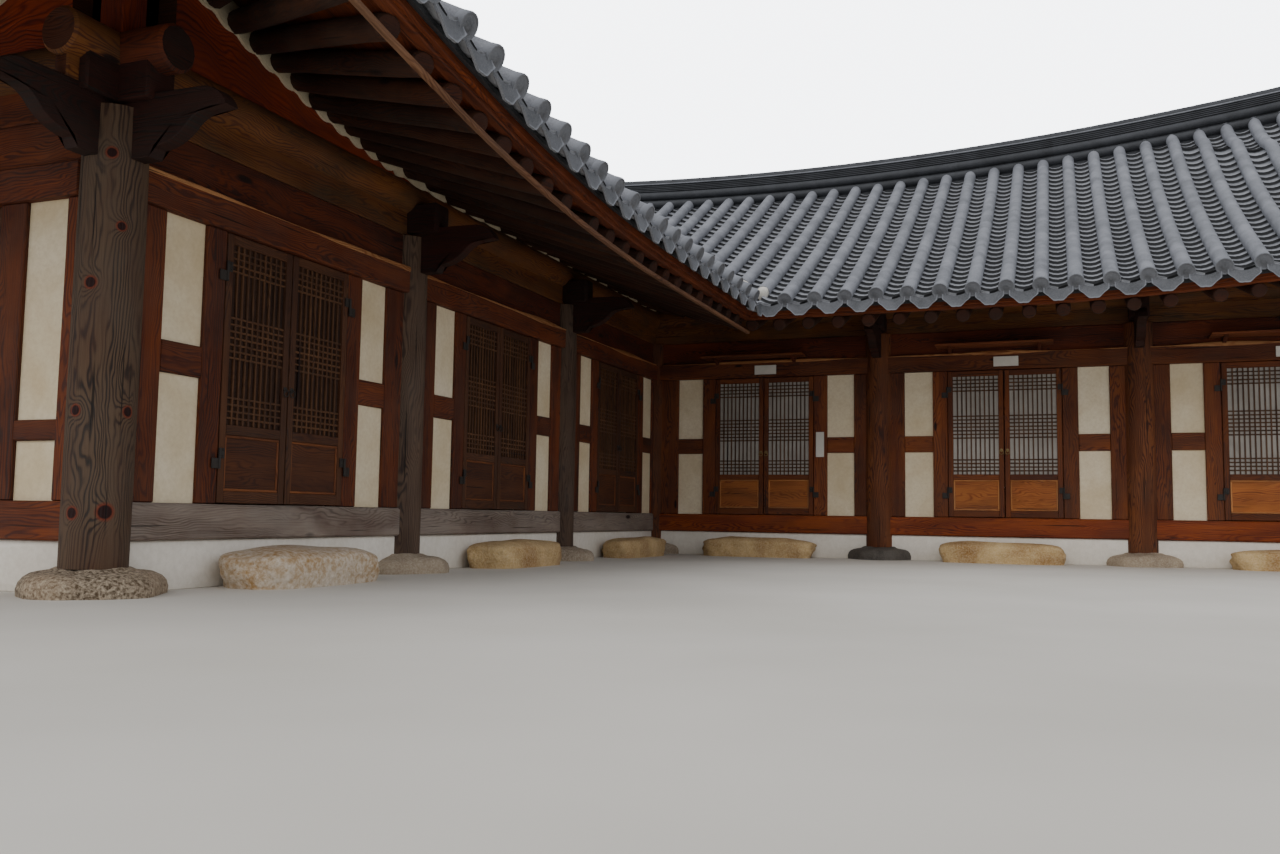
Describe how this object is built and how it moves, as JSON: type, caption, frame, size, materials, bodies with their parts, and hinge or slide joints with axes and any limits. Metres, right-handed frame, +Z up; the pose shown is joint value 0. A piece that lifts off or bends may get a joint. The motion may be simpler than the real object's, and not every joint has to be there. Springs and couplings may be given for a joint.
{
  "type": "hanok house",
  "caption": "One-storey L-shaped hanok house with timber frame, plaster walls, paired lattice doors, stepping stones and a tiled hip-and-gable roof.",
  "frame": {"origin": "ground level under the middle of the roof's outline in plan", "axes": "+Z up, +X along the back wing away from the corner block, -Y from the back wing towards the courtyard and along the left wing"},
  "size_m": [16.8209, 16.8809, 5.8325],
  "materials": {
    "timber": "oiled red-brown pine with grain and dark checks",
    "weathered": "weathered grey-brown timber",
    "door": "stained lattice joinery with paper behind it",
    "rafter": "dark stained round rafters under plastered boards",
    "plaster": "smooth cream lime plaster",
    "lime": "white limewashed masonry on granite foundation stones",
    "boulder": "natural tan fieldstone",
    "tile": "matt charcoal fired clay tiles",
    "floor": "oiled paper floor"
  },
  "bodies": {
    "house": {"left_wing_frame_1": "timber", "left_wing_plaster_1": "plaster", "left_wing_frame_2": "timber", "left_wing_plaster_2": "plaster", "left_wing_frame_3": "timber", "left_wing_plaster_3": "plaster", "left_wing_frame_4": "weathered", "left_wing_plaster_4": "plaster", "left_wing_sill": "weathered", "left_wing_court_beams": "timber", "left_wing_outer_frame": "timber", "left_wing_outer_plaster": "plaster", "left_wing_end_frame": "timber", "left_wing_end_plaster": "plaster", "left_wing_base": "lime", "left_wing_floor": "floor", "left_wing_stepping_stone_1": "boulder", "left_wing_stepping_stone_2": "boulder", "left_wing_stepping_stone_3": "boulder", "left_wing_roof": "tile", "left_wing_rafters": "rafter", "left_wing_ridge": "tile", "left_wing_gable": "plaster", "back_wing_frame_1": "timber", "back_wing_plaster_1": "plaster", "back_wing_frame_2": "timber", "back_wing_plaster_2": "plaster", "back_wing_frame_3": "timber", "back_wing_plaster_3": "plaster", "back_wing_frame_4": "timber", "back_wing_plaster_4": "plaster", "back_wing_sill": "timber", "back_wing_court_beams": "timber", "back_wing_outer_frame": "timber", "back_wing_outer_plaster": "plaster", "back_wing_end_frame": "timber", "back_wing_end_plaster": "plaster", "back_wing_base": "lime", "back_wing_floor": "floor", "back_wing_stepping_stone_1": "boulder", "back_wing_stepping_stone_2": "boulder", "back_wing_stepping_stone_3": "boulder", "back_wing_roof": "tile", "back_wing_rafters": "rafter", "back_wing_ridge": "tile", "back_wing_gable": "plaster", "corner_hip_ridge": "tile"},
    "left_leaf_1_inner": {"left_wing_door_1_inner": "door"},
    "left_leaf_1_outer": {"left_wing_door_1_outer": "door"},
    "left_leaf_2_inner": {"left_wing_door_2_inner": "door"},
    "left_leaf_2_outer": {"left_wing_door_2_outer": "door"},
    "left_leaf_3_inner": {"left_wing_door_3_inner": "door"},
    "left_leaf_3_outer": {"left_wing_door_3_outer": "door"},
    "back_leaf_1_inner": {"back_wing_door_1_inner": "door"},
    "back_leaf_1_outer": {"back_wing_door_1_outer": "door"},
    "back_leaf_2_inner": {"back_wing_door_2_inner": "door"},
    "back_leaf_2_outer": {"back_wing_door_2_outer": "door"},
    "back_leaf_3_inner": {"back_wing_door_3_inner": "door"},
    "back_leaf_3_outer": {"back_wing_door_3_outer": "door"}
  },
  "joints": [
    {"name": "left_hinge_1_inner", "type": "hinge", "parent": "house", "child": "left_leaf_1_inner", "pos_m": [-1.558, 1.018, 1.275], "axis": [0, 0, 1], "range_deg": [0, 90]},
    {"name": "left_hinge_1_outer", "type": "hinge", "parent": "house", "child": "left_leaf_1_outer", "pos_m": [-1.558, -0.158, 1.275], "axis": [0, 0, -1], "range_deg": [0, 90]},
    {"name": "left_hinge_2_inner", "type": "hinge", "parent": "house", "child": "left_leaf_2_inner", "pos_m": [-1.558, -1.742, 1.275], "axis": [0, 0, 1], "range_deg": [0, 90]},
    {"name": "left_hinge_2_outer", "type": "hinge", "parent": "house", "child": "left_leaf_2_outer", "pos_m": [-1.558, -2.918, 1.275], "axis": [0, 0, -1], "range_deg": [0, 90]},
    {"name": "left_hinge_3_inner", "type": "hinge", "parent": "house", "child": "left_leaf_3_inner", "pos_m": [-1.558, -4.509, 1.275], "axis": [0, 0, 1], "range_deg": [0, 90]},
    {"name": "left_hinge_3_outer", "type": "hinge", "parent": "house", "child": "left_leaf_3_outer", "pos_m": [-1.558, -5.685, 1.275], "axis": [0, 0, -1], "range_deg": [0, 90]},
    {"name": "back_hinge_1_inner", "type": "hinge", "parent": "house", "child": "back_leaf_1_inner", "pos_m": [-0.82, 1.588, 1.275], "axis": [0, 0, -1], "range_deg": [0, 90]},
    {"name": "back_hinge_1_outer", "type": "hinge", "parent": "house", "child": "back_leaf_1_outer", "pos_m": [0.356, 1.588, 1.275], "axis": [0, 0, 1], "range_deg": [0, 90]},
    {"name": "back_hinge_2_inner", "type": "hinge", "parent": "house", "child": "back_leaf_2_inner", "pos_m": [1.837, 1.588, 1.275], "axis": [0, 0, -1], "range_deg": [0, 90]},
    {"name": "back_hinge_2_outer", "type": "hinge", "parent": "house", "child": "back_leaf_2_outer", "pos_m": [3.013, 1.588, 1.275], "axis": [0, 0, 1], "range_deg": [0, 90]},
    {"name": "back_hinge_3_inner", "type": "hinge", "parent": "house", "child": "back_leaf_3_inner", "pos_m": [4.507, 1.588, 1.275], "axis": [0, 0, -1], "range_deg": [0, 90]},
    {"name": "back_hinge_3_outer", "type": "hinge", "parent": "house", "child": "back_leaf_3_outer", "pos_m": [5.683, 1.588, 1.275], "axis": [0, 0, 1], "range_deg": [0, 90]}
  ]
}
